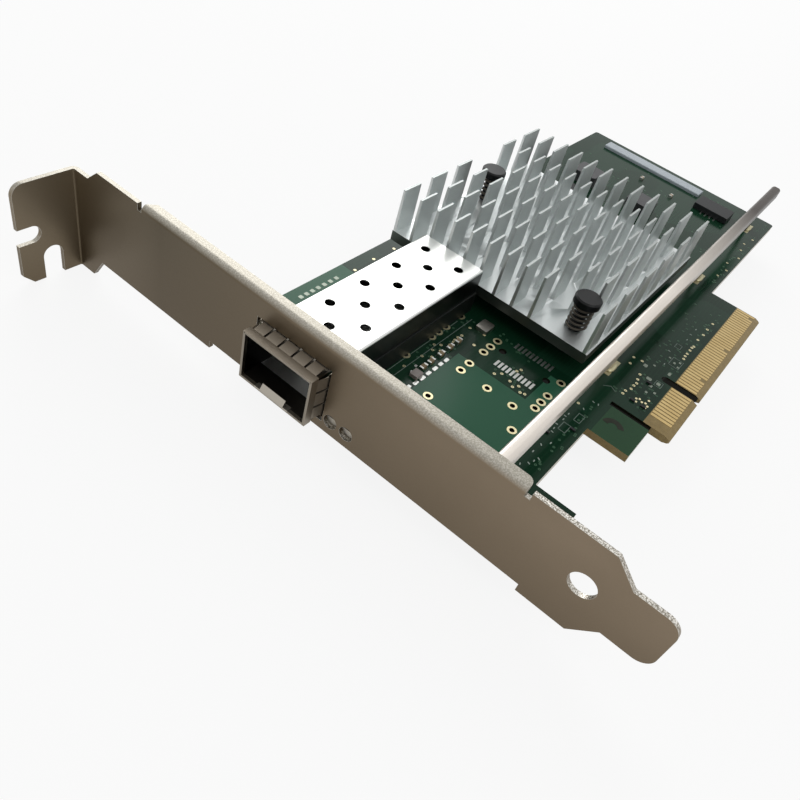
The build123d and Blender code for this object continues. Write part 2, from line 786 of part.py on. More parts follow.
# Tinned pads round the slots of the rail's legs
with BuildPart() as leg_pads:
    with BuildSketch():
        with Locations([(x, leg_y) for x in leg_x]):
            Rectangle(leg_width + 2 * leg_pad_margin, rail_sheet + 2 * leg_pad_margin)
            Rectangle(leg_tongue_width + 2 * leg_slot_clearance,
                      rail_sheet + 2 * leg_slot_clearance, mode=Mode.SUBTRACT)
    extrude(amount=pad_thickness)

# Small parts on the component face
crystal_x = cage_rear_x - crystal_inset
crystal_y = port_y - crystal_drop
with BuildPart() as crystal_can:
    standing_box(crystal_x, crystal_y, 0, crystal_length, crystal_width, crystal_height)
    fillet(crystal_can.edges().filter_by(Axis.Z), crystal_width / 8)

with BuildPart() as bead_inductor:
    standing_box(cage_rear_x - inductor_inset, port_y - inductor_drop, 0,
                 inductor_length, inductor_width, inductor_height)

capacitors_at = [(cage_rear_x - inset, port_y - side_capacitor_drop) for inset in side_capacitor_inset]
capacitors_at += [(board_rear_x - inset, y)
                  for inset, y in zip(rear_capacitor_inset, rear_capacitor_y)]

with BuildPart() as capacitor_bodies:
    for x, y in capacitors_at:
        standing_box(x, y, 0, capacitor_length - 2 * capacitor_cap, capacitor_width, capacitor_height)

with BuildPart() as capacitor_caps:
    for x, y in capacitors_at:
        for side in (-1, 1):
            cap_x = x + side * (capacitor_length - capacitor_cap) / 2
            standing_box(cap_x, y, 0, capacitor_cap, capacitor_width, capacitor_height)

with BuildPart() as chip_resistors:
    for x, y in resistors_at:
        standing_box(x, y, 0, resistor_width, resistor_length, resistor_height)

flash_x = board_rear_x - flash_rear_gap - flash_length / 2
with BuildPart() as flash_chip:
    standing_box(flash_x, flash_y, flash_standoff, flash_length, flash_width, flash_height)

with BuildPart() as flash_leads_row:
    for side in (-1, 1):
        lead_x = flash_x + side * (flash_length + flash_lead_reach) / 2
        with Locations((lead_x, flash_y, flash_lead_thickness / 2)):
            with GridLocations(0, flash_lead_pitch, 1, flash_leads):
                Box(flash_lead_reach, flash_lead_width, flash_lead_thickness)

with BuildPart() as edge_strip:
    standing_box(board_rear_x - strip_rear_gap - strip_width / 2,
                 board_height - strip_top_gap - strip_length / 2, 0, strip_width, strip_length, strip_height)
    fillet(edge_near(edge_strip, z=strip_height), strip_height / 3)

with BuildPart() as regulator_chip:
    regulator_x = sink_rear_x + regulator_gap + regulator_side / 2
    standing_box(regulator_x, board_height - regulator_drop, 0,
                 regulator_side, regulator_side, regulator_height)

with BuildPart() as power_coils:
    with Locations((sink_rear_x + coil_gap + coil_side / 2, board_height - coil_drop - coil_pitch / 2, 0)):
        with GridLocations(0, coil_pitch, 1, coil_count):
            Box(coil_side, coil_side, coil_height, align=(Align.CENTER, Align.CENTER, Align.MIN))
    fillet(power_coils.edges().filter_by(Axis.Z), coil_corner)

pieces = {
    "circuit_board": circuit_board,
    "top_contacts": top_contacts,
    "bottom_contacts": bottom_contacts,
    "port_rings": port_rings,
    "connector_pads": connector_pads,
    "bracket": bracket,
    "bracket_screws": bracket_screws,
    "cage_shell": cage_shell,
    "cage_floor": cage_floor,
    "spring_collar": spring_collar,
    "port_connector": port_connector,
    "connector_leads": connector_leads,
    "link_lights": link_lights,
    "controller_chip": controller_chip,
    "controller_lid": controller_lid,
    "thermal_pad": thermal_pad,
    "heatsink": heatsink,
    "push_pins": push_pins,
    "pin_springs": pin_springs,
    "stiffener_rail": stiffener_rail,
    "leg_pads": leg_pads,
    "crystal_can": crystal_can,
    "bead_inductor": bead_inductor,
    "capacitor_bodies": capacitor_bodies,
    "capacitor_caps": capacitor_caps,
    "chip_resistors": chip_resistors,
    "flash_chip": flash_chip,
    "flash_leads": flash_leads_row,
    "edge_strip": edge_strip,
    "regulator_chip": regulator_chip,
    "power_coils": power_coils,
}

os.makedirs("parts", exist_ok=True)
for node_name, piece in pieces.items():
    piece.part.label = node_name
    export_step(piece.part, f"parts/{node_name}.step")
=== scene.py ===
import math

import bmesh
import bpy
import numpy as np
from mathutils import Matrix, Vector


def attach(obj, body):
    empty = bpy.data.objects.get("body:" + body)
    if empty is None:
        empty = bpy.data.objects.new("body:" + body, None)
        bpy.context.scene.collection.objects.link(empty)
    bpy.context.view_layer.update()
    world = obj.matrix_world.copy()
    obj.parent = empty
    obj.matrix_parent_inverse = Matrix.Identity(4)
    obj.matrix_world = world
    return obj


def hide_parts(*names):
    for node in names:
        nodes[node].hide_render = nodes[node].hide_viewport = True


# Network card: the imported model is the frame, and this script adds its finishes and fine detail.
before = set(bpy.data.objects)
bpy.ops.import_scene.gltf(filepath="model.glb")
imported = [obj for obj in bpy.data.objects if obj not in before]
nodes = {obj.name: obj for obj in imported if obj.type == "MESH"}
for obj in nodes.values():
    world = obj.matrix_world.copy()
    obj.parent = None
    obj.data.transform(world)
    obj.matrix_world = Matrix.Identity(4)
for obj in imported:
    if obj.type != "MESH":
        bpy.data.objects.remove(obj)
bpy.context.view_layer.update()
mm = 0.001


# An sRGB hex colour as linear light, with full cover.
def toLinear(hexColour):
    channels = [int(hexColour[i:i + 2], 16) / 255 for i in (1, 3, 5)]
    return [c / 12.92 if c <= 0.04045 else ((c + 0.055) / 1.055) ** 2.4 for c in channels] + [1.0]


# Adds a node with its settings. An input takes another node's output, a hex colour or a value.
def addNode(tree, kind, settings=None, inputs=None):
    node = tree.nodes.new(kind)
    for name, value in (settings or {}).items():
        setattr(node, name, value)
    for socket, value in (inputs or {}).items():
        if isinstance(value, bpy.types.NodeSocket):
            tree.links.new(value, node.inputs[socket])
        else:
            node.inputs[socket].default_value = toLinear(value) if isinstance(value, str) else value
    return node


def startMaterial(name, metallic=0.0, roughness=0.5, specular=0.5):
    material = bpy.data.materials.new(name)
    material.use_nodes = True
    tree = material.node_tree
    tree.nodes.clear()
    shader = addNode(tree, "ShaderNodeBsdfPrincipled", inputs={
        "Metallic": metallic, "Roughness": roughness, "Specular IOR Level": specular})
    addNode(tree, "ShaderNodeOutputMaterial", inputs={"Surface": shader.outputs[0]})
    place = addNode(tree, "ShaderNodeTexCoord").outputs["Object"]
    return material, tree, shader, place


# Tones laid over a first one in order, each by its own share.
def layered(tree, tone, layers):
    for share, over in layers:
        tone = addNode(tree, "ShaderNodeMix", {"data_type": "RGBA"},
                       {0: share, 6: tone, 7: over}).outputs[2]
    return tone


# The largest of several shares: 1 wherever one of them is 1.
def largestOf(tree, shares):
    largest = shares[0]
    for share in shares[1:]:
        largest = addNode(tree, "ShaderNodeMath", {"operation": "MAXIMUM"},
                          {0: largest, 1: share}).outputs[0]
    return largest


# Octaves of the noise, and how far the grain stands up, in mm.
mottling = {"patchDetail": 3.0, "grainDetail": 2.0, "speckDetail": 1.0, "depth": 0.02}


# Two tones that drift over a patch size, a fine grain in the roughness, and a slight bump.
# patch and grain are in mm, and stretch squeezes the grain along each axis.
def mottle(tree, shader, place, tones, patch, grain, roughness, bump, stretch=(1, 1, 1)):
    drift = addNode(tree, "ShaderNodeTexNoise", inputs={
        "Vector": place, "Scale": 1 / (patch * mm), "Detail": mottling["patchDetail"]})
    tone = layered(tree, tones[0], [(drift.outputs["Fac"], tones[1])])
    squeezed = addNode(tree, "ShaderNodeMapping", inputs={"Vector": place, "Scale": stretch})
    fine = addNode(tree, "ShaderNodeTexNoise", inputs={
        "Vector": squeezed.outputs[0], "Scale": 1 / (grain * mm),
        "Detail": mottling["grainDetail"]}).outputs["Fac"]
    rough = addNode(tree, "ShaderNodeMapRange", inputs={
        "Value": fine, "To Min": roughness[0], "To Max": roughness[1]})
    relief = addNode(tree, "ShaderNodeBump", inputs={
        "Height": fine, "Strength": bump, "Distance": mottling["depth"] * mm})
    tree.links.new(tone, shader.inputs["Base Color"])
    tree.links.new(rough.outputs[0], shader.inputs["Roughness"])
    tree.links.new(relief.outputs[0], shader.inputs["Normal"])
    return tone


# The upward part of a face's own normal: 1 on flat tops, 0 on walls, -1 underneath.
def upwardPart(tree):
    normal = addNode(tree, "ShaderNodeNewGeometry").outputs["Normal"]
    return addNode(tree, "ShaderNodeSeparateXYZ", inputs={0: normal}).outputs["Z"]


# 1 inside a box given by two corners in mm, 0 outside: the largest of |place - middle| - half size
# along the three axes is below nought inside.
def within(tree, place, lowCorner, highCorner):
    low, high = Vector(lowCorner) * mm, Vector(highCorner) * mm
    offset = addNode(tree, "ShaderNodeVectorMath", {"operation": "SUBTRACT"},
                     {0: place, 1: (low + high) / 2})
    away = addNode(tree, "ShaderNodeVectorMath", {"operation": "ABSOLUTE"}, {0: offset.outputs[0]})
    past = addNode(tree, "ShaderNodeVectorMath", {"operation": "SUBTRACT"},
                   {0: away.outputs[0], 1: (high - low) / 2})
    parts = addNode(tree, "ShaderNodeSeparateXYZ", inputs={0: past.outputs[0]})
    return addNode(tree, "ShaderNodeMath", {"operation": "LESS_THAN"},
                   {0: largestOf(tree, list(parts.outputs)), 1: 0.0}).outputs[0]


# A share that rises from 0 to 1 between two places in mm along one axis.
def ramp(tree, place, axis, start, end):
    along = addNode(tree, "ShaderNodeSeparateXYZ", inputs={0: place}).outputs[axis]
    return addNode(tree, "ShaderNodeMapRange", inputs={
        "Value": along, "From Min": start * mm, "From Max": end * mm}).outputs[0]


# Light specks a grain apart: 0 where the noise is below low, and 1 where it is above high.
def specks(tree, place, grain, low, high):
    noise = addNode(tree, "ShaderNodeTexNoise", inputs={
        "Vector": place, "Scale": 1 / (grain * mm),
        "Detail": mottling["speckDetail"]}).outputs["Fac"]
    return addNode(tree, "ShaderNodeMapRange", inputs={
        "Value": noise, "From Min": low, "From Max": high}).outputs[0]


# Nickel-plated cold-rolled steel, tumbled: a warm grey satin with an even sandy grain. Painted
# shade makes the plate darker and browner up towards the ear, which is paler again, darker towards
# the bottom, and dark in the ear's bend. Flat tops carry a cooler, paler painted light, and upward
# faces of the sheared edges below the flange carry a bright painted highlight. The grain is drawn
# at 0.22 mm, coarser than it is.
bracketLook = {
    "plate": ("#7d6f5d", "#8b7c69"), "patch": 14, "grain": 0.22, "roughness": (0.36, 0.48),
    # Painted shade: darker from Y 0 to 82 mm, up towards the ear, which is paler again, darker
    # towards the bottom, and dark in the ear's bend.
    "bump": 0.3, "middle": "#5a5142", "middleY": (0, 82), "ear": "#857a68", "earY": (82, 106),
    "low": "#5b4f3e", "lowZ": (12, -14), "bend": "#5a5040",
    "bendBox": ((-60.6, 102.8, -20), (-59.07, 104.2, 20)),
    # Painted light: paler, cooler flat tops, and a bright painted highlight on upward faces of the
    # sheared edges.
    "top": ("#918d83", "#aaa69c"), "topSlope": (0.3, 0.9), "specks": (0.42, 0.62),
    "sheared": ("#8b867b", "#e6e3dc"),
    "shearedBoxes": [((-60, -60, -20), (-50, 10.2, 20)),
                     ((-59.3, -60, -20), (-58.1, 120, 8))]}


def nickelPlatedSteel():
    look = bracketLook
    material, tree, shader, place = startMaterial("satinNickelPlatedSteel", metallic=1.0)
    plate = mottle(tree, shader, place, look["plate"], look["patch"], look["grain"],
                   look["roughness"], look["bump"])
    # Painted shade: darker up towards the ear, towards the bottom and in the ear's bend.
    plate = layered(tree, plate, [
        (ramp(tree, place, "Y", *look["middleY"]), look["middle"]),
        (ramp(tree, place, "Y", *look["earY"]), look["ear"]),
        (ramp(tree, place, "Z", *look["lowZ"]), look["low"]),
        (within(tree, place, *look["bendBox"]), look["bend"])])
    # Painted light on upward faces: paler tops, and a bright painted highlight on the sheared
    # edges.
    light = specks(tree, place, look["grain"], *look["specks"])
    sheared = largestOf(tree, [within(tree, place, *box) for box in look["shearedBoxes"]])
    top = layered(tree, look["top"][0], [(light, look["top"][1])])
    cut = layered(tree, look["sheared"][0], [(light, look["sheared"][1])])
    up = addNode(tree, "ShaderNodeMapRange", inputs={
        "Value": upwardPart(tree), "From Min": look["topSlope"][0],
        "From Max": look["topSlope"][1]}).outputs[0]
    tone = layered(tree, plate, [(up, layered(tree, top, [(sheared, cut)]))])
    tree.links.new(tone, shader.inputs["Base Color"])
    return material


# Rolled stainless strip: bright, with fine lines along the rail, and a painted shade that darkens
# it towards the rear end.
railLook = {"near": ("#cfc8c0", "#dcd5cc"), "far": "#453f3a", "farX": (8, 62), "patch": 12,
            "grain": 0.5, "lines": (0.06, 1, 1), "roughness": (0.32, 0.42), "bump": 0.2}


def rolledStainless():
    look = railLook
    material, tree, shader, place = startMaterial("rolledStainlessSteel", metallic=1.0)
    tone = mottle(tree, shader, place, look["near"], look["patch"], look["grain"],
                  look["roughness"], look["bump"], look["lines"])
    # Painted shade: darker towards the rear end.
    tone = layered(tree, tone, [(ramp(tree, place, "X", *look["farX"]), look["far"])])
    tree.links.new(tone, shader.inputs["Base Color"])
    return material


# Nickel silver sheet, stamped: nearly white and glossy outside, with a dark painted shade inside
# the port and in the throat under the collar. The outer side towards the board's parts is darker, a
# painted reflection of the dark board, the plain rim of the mouth is darker too, and the inner wall
# just inside the mouth carries a bright painted reflection.
cageLook = {
    "outside": ("#d2d3cf", "#e2e3e0"), "patch": 8, "grain": 0.4, "bump": 0.1,
    # Painted shade in the throat under the collar and inside the port.
    "throat": "#3d3a35", "throatBox": ((-61.9, 40.0, -4.0), (-58.1, 63.0, 12.0)),
    "inside": "#1d1f20", "insideBox": ((-61.7, 44.6, 0.4), (-16.0, 58.4, 9.1)),
    # A dark painted reflection of the board on the outer side.
    "side": "#383b3a", "sideBox": ((-58.1, 40.0, -4.0), (-15.0, 44.55, 8.9)),
    "mouth": "#827b6f", "mouthBox": ((-63, 40, -4), (-61.9, 63, 12)),
    "lip": "#aaa499", "lipBox": ((-63, 48, -4), (-61.5, 55.2, 1.6)),
    # A bright painted reflection on the inner wall by the mouth.
    "wall": "#dfe6e6", "wallBox": ((-61.9, 44.6, 5.0), (-58.6, 44.9, 9.0))}


def nickelSilverSheet(name, roughness):
    look = cageLook
    material, tree, shader, place = startMaterial(name, metallic=1.0)
    tone = mottle(tree, shader, place, look["outside"], look["patch"], look["grain"], roughness,
                  look["bump"])
    # Painted shade in the throat and inside the port, a dark painted reflection on the outer side,
    # and a bright painted reflection on the inner wall.
    tone = layered(tree, tone, [
        (within(tree, place, *look[part + "Box"]), look[part])
        for part in ("throat", "inside", "side", "mouth", "lip", "wall")])
    tree.links.new(tone, shader.inputs["Base Color"])
    return material


# Extruded aluminium, cross cut and etched: soft grey with fine lines along the extrusion.
# The fins' sawn tops are darker, and the base's outer sides carry a dark painted shade.
sinkLook = {"faces": ("#c6caca", "#d8dcdb"), "patch": 7, "grain": 0.4, "lines": (0.06, 1, 1),
            "roughness": (0.38, 0.5), "bump": 0.2,
            "tops": "#a3a8a6", "topsBox": ((-20, 0, 14.3), (60, 99, 15)),
            # Painted shade on the base's outer sides.
            "side": "#555b57", "sideBox": ((-20, 0, 2), (60, 99, 5.15))}


def extrudedAluminium():
    look = sinkLook
    material, tree, shader, place = startMaterial("etchedExtrudedAluminium", metallic=1.0)
    tone = mottle(tree, shader, place, look["faces"], look["patch"], look["grain"],
                  look["roughness"], look["bump"], look["lines"])
    # A darker band at the fins' tops, and painted shade on the base's outer sides.
    tone = layered(tree, tone, [
        (within(tree, place, *look[part + "Box"]), look[part]) for part in ("tops", "side")])
    tree.links.new(tone, shader.inputs["Base Color"])
    return material


# Green solder mask, curtain coated over copper: light green over the full pour of the second port's
# footprint and the hook, dark over the signal layers, where thin traces just show; this step is
# partly copper under the mask and partly painted light and shade. Over the hook the pour is darker,
# a painted shade. Bare brown glass laminate shows at the cut edges and round the contacts, where
# the mask is left off; it is painted near-black as shade in the board's holes and slots, and
# near-white as light on the front edge, which lies in shade behind the bracket.
# The traces are drawn 0.22 mm wide and the laminate's weave 1.2 mm apart, both coarser than real.
boardLook = {
    "roughness": 0.16, "specular": 0.12, "bump": 0.08, "dark": "#10301f",
    "patch": "#173826", "patchSize": 11.0, "patchLimit": 0.5,
    "trace": "#1a3c29", "traceGap": 0.8, "traceWidth": 0.22, "traceLength": 17.0,
    "traceShift": 0.37, "traceSoftness": 0.4,
    # The pour's light green is partly copper under the mask and partly painted light.
    "pour": "#32624a",
    "pours": [((-60, 17, -9), (-28, 38.4, 9)), ((-29, 17, -9), (-18.5, 23.6, 9)),
              ((-60, 64.5, -9), (-26, 72, 9))],
    # Painted shade over the hook.
    "hook": "#2b4f33", "hookBox": ((-30, 0, -9), (-16, 11.6, 9)),
    "laminate": ("#8a764e", "#ab9566"), "weave": 1.2, "weaveDetail": 3.0, "steepSlope": 0.5,
    "bare": ((-15.3, -9, -9), (99, 5.75, 9)),
    # Painted shade in the board's holes and slots.
    "cut": "#1c1a10",
    "cutBoxes": [((-57, 13.2, -9), (88, 68, 9)), ((-1.4, 0.6, -9), (1.4, 13, 9)),
                 ((-16.2, 4.0, -9), (-14.6, 13, 9))],
    # Painted light on the front edge, which lies in shade behind the bracket.
    "front": "#efe8da", "frontBox": ((-58.5, 30, -9), (-57.5, 70, 9))}


def solderMask():
    look = boardLook
    material, tree, shader, place = startMaterial(
        "glossyGreenSolderMask", roughness=look["roughness"], specular=look["specular"])
    cells = addNode(tree, "ShaderNodeTexVoronoi", {"distance": "CHEBYCHEV"}, {
        "Vector": place, "Scale": 1 / (look["patchSize"] * mm)}).outputs["Color"]
    drawn = addNode(tree, "ShaderNodeSeparateColor", inputs={0: cells}).outputs[0]
    patch = addNode(tree, "ShaderNodeMath", {"operation": "GREATER_THAN"},
                    {0: drawn, 1: look["patchLimit"]}).outputs[0]
    rows = addNode(tree, "ShaderNodeTexBrick", {"offset": look["traceShift"]}, {
        "Vector": place, "Scale": 1 / mm, "Brick Width": look["traceLength"],
        "Row Height": look["traceGap"], "Mortar Size": look["traceWidth"] / 2,
        "Mortar Smooth": look["traceSoftness"]}).outputs["Fac"]
    traces = addNode(tree, "ShaderNodeMath", {"operation": "MULTIPLY"},
                     {0: rows, 1: drawn}).outputs[0]
    poured = largestOf(tree, [within(tree, place, *box)
                              for box in look["pours"] + [look["hookBox"]]])
    # Painted light on the pour, and painted shade over the hook.
    coated = layered(tree, look["dark"], [
        (patch, look["patch"]), (traces, look["trace"]), (poured, look["pour"]),
        (within(tree, place, *look["hookBox"]), look["hook"])])
    upright = addNode(tree, "ShaderNodeMath", {"operation": "ABSOLUTE"},
                      {0: upwardPart(tree)}).outputs[0]
    steep = addNode(tree, "ShaderNodeMath", {"operation": "LESS_THAN"},
                    {0: upright, 1: look["steepSlope"]}).outputs[0]
    weave = addNode(tree, "ShaderNodeTexNoise", inputs={
        "Vector": place, "Scale": 1 / (look["weave"] * mm), "Detail": look["weaveDetail"]})
    # Painted shade in the holes and slots, and painted light on the front edge.
    cuts = [addNode(tree, "ShaderNodeMath", {"operation": "MULTIPLY"},
                    {0: within(tree, place, *box), 1: steep}).outputs[0]
            for box in look["cutBoxes"]]
    laminate = layered(tree, look["laminate"][0], [
        (weave.outputs["Fac"], look["laminate"][1]), *[(share, look["cut"]) for share in cuts],
        (within(tree, place, *look["frontBox"]), look["front"])])
    unmasked = largestOf(tree, [steep, within(tree, place, *look["bare"])])
    tree.links.new(layered(tree, coated, [(unmasked, laminate)]), shader.inputs["Base Color"])
    relief = addNode(tree, "ShaderNodeBump", inputs={
        "Height": layered(tree, rows, [(poured, "#000000")]), "Strength": look["bump"],
        "Distance": mottling["depth"] * mm})
    tree.links.new(relief.outputs[0], shader.inputs["Normal"])
    return material


def plainMetal(name, tones, roughness, patch=3, grain=0.3, bump=0.15):
    material, tree, shader, place = startMaterial(name, metallic=1.0)
    mottle(tree, shader, place, tones, patch, grain, roughness, bump)
    return material


def mouldedResin(name, tones, roughness, specular=0.5, patch=2.5, grain=0.2, bump=0.3):
    material, tree, shader, place = startMaterial(name, specular=specular)
    mottle(tree, shader, place, tones, patch, grain, roughness, bump)
    return material


# Even finishes: the material's name, its two tones, the range of its roughness, and whatever
# differs from the values that stand in plainMetal or mouldedResin.
metals = {
    # bracket sheet where it was sheared and bent: rubbed smooth, lighter than the plate
    "burnished": {"name": "burnishedSteelEdge", "tones": ("#a9a69e", "#c2bfb8"),
                  "roughness": (0.3, 0.42), "bump": 0.3},
    # tempered spring steel, plated: a satin grey a little browner than the cage
    "spring": {"name": "platedSpringSteel", "tones": ("#7f776b", "#948b7e"),
               "roughness": (0.34, 0.46), "patch": 4, "bump": 0.2},
    # hard gold, plated on the tongue's contacts: a dull brass yellow
    "gold": {"name": "hardGoldPlate", "tones": ("#b49a66", "#cdb682"), "roughness": (0.3, 0.42)},
    # immersion gold, a thin bath coat on copper: pale and even
    "ringGold": {"name": "immersionGold", "tones": ("#d3c89c", "#e6ddb8"),
                 "roughness": (0.3, 0.42)},
    # tin, dipped hot on leads and lands: light grey, with some shine
    "tin": {"name": "hotTinPlate", "tones": ("#b9bab6", "#cfd0cc"), "roughness": (0.25, 0.4)},
    # tin plate, dull, with a painted reflection of the green mask round it
    "dullTin": {"name": "agedTinPlate", "tones": ("#737c71", "#8d958a"),
                "roughness": (0.4, 0.55)},
    # spring wire, blackened in an oxide bath: dark, with brown lights
    "blackSteel": {"name": "blackOxideSteel", "tones": ("#3a3732", "#5a554d"),
                   "roughness": (0.25, 0.4)},
    # copper lid, stamped and nickel plated: a plain satin grey
    "lid": {"name": "nickelPlatedCopper", "tones": ("#a6a49c", "#bab8b0"),
            "roughness": (0.25, 0.35)},
    # drawn can, seam sealed: a warm light grey, fairly smooth
    "canMetal": {"name": "seamSealedCan", "tones": ("#aaa49c", "#c4beb6"),
                 "roughness": (0.25, 0.35)},
    # solder, reflowed into a low fillet: dull and a little yellow
    "solder": {"name": "reflowedSolder", "tones": ("#a39d7e", "#bdb797"),
               "roughness": (0.35, 0.5)}}
resins = {
    # nylon, injection moulded, for the push pins: black, with a soft shine
    "blackNylon": {"name": "mouldedBlackNylon", "tones": ("#08090a", "#0e0f10"),
                   "roughness": (0.28, 0.4), "specular": 0.2},
    # glass-filled polymer, injection moulded, for the connector: matt black
    "blackPolymer": {"name": "mouldedBlackPolymer", "tones": ("#08090a", "#0e0f10"),
                     "roughness": (0.4, 0.55), "specular": 0.2},
    # polycarbonate, moulded, for the link lights: glossy, painted dark for the shade they stand in
    # behind the bracket
    "smokedPolymer": {"name": "smokedPolycarbonate", "tones": ("#24231f", "#33312c"),
                      "roughness": (0.2, 0.3)},
    # epoxy, transfer moulded round the chips: a flat near-black
    "epoxy": {"name": "transferMouldedEpoxy", "tones": ("#17191a", "#212324"),
              "roughness": (0.45, 0.6), "specular": 0.3},
    # glass laminate, masked, under the controller: dull dark green
    "laminate": {"name": "glassLaminate", "tones": ("#28412f", "#34513c"),
                 "roughness": (0.4, 0.55)},
    # silicone pad, filled and pressed: flat mid grey
    "siliconePad": {"name": "greySiliconePad", "tones": ("#7d8084", "#8d9094"),
                    "roughness": (0.6, 0.75)},
    # ferrite, pressed and fired, for the coils: flat dark grey
    "ferrite": {"name": "pressedFerrite", "tones": ("#2c2c2e", "#3a3a3c"),
                "roughness": (0.45, 0.6)},
    # ferrite under baked paint, for the bead: a warm grey
    "wireFerrite": {"name": "paintedFerrite", "tones": ("#8d8580", "#a59c96"),
                    "roughness": (0.4, 0.55)},
    # ceramic, fired, for the small capacitors: tan
    "ceramic": {"name": "firedCeramic", "tones": ("#7d6a4a", "#948060"),
                "roughness": (0.35, 0.5)},
    # moulded strip at the rear edge: pale blue grey, half matt
    "stripPolymer": {"name": "paleGreyPolymer", "tones": ("#a3acb3", "#bcc4c9"),
                     "roughness": (0.35, 0.5)},
    # solder mask drawn over copper: a lighter green than the board
    "tented": {"name": "maskOverCopper", "tones": ("#34553f", "#45684e"),
               "roughness": (0.3, 0.45), "specular": 0.2},
    # white epoxy ink, screen printed: chalky, greyed by the mask under it
    "legend": {"name": "whiteEpoxyInk", "tones": ("#8c998f", "#a9b5ab"),
               "roughness": (0.5, 0.65)},
    # the same ink printed thin: the mask shows through more
    "greyLegend": {"name": "thinWhiteInk", "tones": ("#5f6d65", "#76847b"),
                   "roughness": (0.5, 0.65), "specular": 0.2},
    # brown epoxy ink, screen printed, for the mark on the hook: flat and very dark
    "darkInk": {"name": "brownEpoxyInk", "tones": ("#171c0f", "#232716"),
                "roughness": (0.4, 0.5), "specular": 0.2}}

finishes = {
    "nickelSteel": nickelPlatedSteel(),
    "stainless": rolledStainless(),
    "nickelSilver": nickelSilverSheet("stampedNickelSilver", (0.26, 0.34)),
    "cageFloor": nickelSilverSheet("satinNickelSilver", (0.42, 0.5)),
    "aluminium": extrudedAluminium(),
    "mask": solderMask(),
    **{key: plainMetal(**look) for key, look in metals.items()},
    **{key: mouldedResin(**look) for key, look in resins.items()}}
print("materials")

# CAD node and its finish.
nodeFinish = {
    "circuit_board": "mask", "top_contacts": "gold", "bottom_contacts": "gold",
    "port_rings": "ringGold", "connector_pads": "tin", "bracket": "nickelSteel",
    "bracket_screws": "nickelSteel", "cage_shell": "nickelSilver", "cage_floor": "cageFloor",
    "spring_collar": "spring", "port_connector": "blackPolymer", "connector_leads": "gold",
    "link_lights": "smokedPolymer", "controller_chip": "laminate", "controller_lid": "lid",
    "thermal_pad": "siliconePad", "heatsink": "aluminium", "push_pins": "blackNylon",
    "pin_springs": "blackSteel", "stiffener_rail": "stainless", "leg_pads": "solder",
    "crystal_can": "canMetal", "bead_inductor": "wireFerrite", "capacitor_bodies": "ceramic",
    "capacitor_caps": "tin", "chip_resistors": "epoxy", "flash_chip": "epoxy",
    "flash_leads": "tin", "edge_strip": "stripPolymer", "regulator_chip": "epoxy",
    "power_coils": "ferrite"}


def dress(node, material):
    if not node.data.materials:
        node.data.materials.append(material)
    for slot in node.material_slots:
        slot.material = material


for nodeName, finishName in nodeFinish.items():
    dress(nodes[nodeName], finishes[finishName])
print("frame nodes dressed")

# Folded and cut metal has softened edges: the node's mesh is copied, merged and bevelled.
softened = {
    "plateBracket": {"node": "bracket", "slot": "bracket_steel", "edge": 0.16,
                     "finish": "nickelSteel", "edgeFinish": "burnished"},
    "foldedRail": {"node": "stiffener_rail", "slot": "rail_steel", "edge": 0.1,
                   "finish": "stainless", "edgeFinish": "stainless"},
    "finnedSink": {"node": "heatsink", "slot": "heatsink_aluminium", "edge": 0.09,
                   "finish": "aluminium", "edgeFinish": "aluminium"}}
softening = {"mergeWithin": 0.002, "flatAngle": 1, "sharpAngle": 35, "segments": 2}  # mm, degrees


# Only outside corners are rounded: an inside corner, such as a bend's root, stays sharp.
def softenedCopy(name, node, slot, edge, finish, edgeFinish):
    piece = bpy.data.objects.new(name, nodes[node].data.copy())
    bpy.context.scene.collection.objects.link(piece)
    shape = bmesh.new()
    shape.from_mesh(piece.data)
    bmesh.ops.remove_doubles(shape, verts=shape.verts, dist=softening["mergeWithin"] * mm)
    bmesh.ops.dissolve_limit(shape, angle_limit=math.radians(softening["flatAngle"]),
                             verts=shape.verts, edges=shape.edges)
    weight = shape.edges.layers.float.new("bevel_weight_edge")
    sharp = math.radians(softening["sharpAngle"])
    for fold in shape.edges:
        fold[weight] = float(fold.is_manifold and fold.calc_face_angle_signed() > sharp)
        fold.smooth = not fold.is_manifold or fold.calc_face_angle() < sharp
    shape.to_mesh(piece.data)
    shape.free()
    piece.data.materials.clear()
    piece.data.materials.append(finishes[finish])
    piece.data.materials.append(finishes[edgeFinish])
    bevel = piece.modifiers.new("edges", "BEVEL")
    bevel.width = edge * mm
    bevel.segments = softening["segments"]
    bevel.material = 1
    bevel.limit_method = "WEIGHT"
    bevel.harden_normals = True
    piece.data.shade_smooth()
    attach(piece, "root")
    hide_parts(node)


for pieceName, piece in softened.items():
    softenedCopy(pieceName, **piece)
print("softened metal")


# A new closed mesh from whole arrays: quads, and caps that are faces of many corners.
def addPiece(name, points, faces, finish, slot, smooth=False):
    mesh = bpy.data.meshes.new(name)
    mesh.from_pydata((np.asarray(points).reshape(-1, 3) * mm).tolist(), [], faces)
    mesh.validate()
    mesh.update()
    mesh.polygons.foreach_set("use_smooth", [smooth] * len(mesh.polygons))
    mesh.materials.append(finishes[finish])
    piece = bpy.data.objects.new(name, mesh)
    bpy.context.scene.collection.objects.link(piece)
    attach(piece, "root")


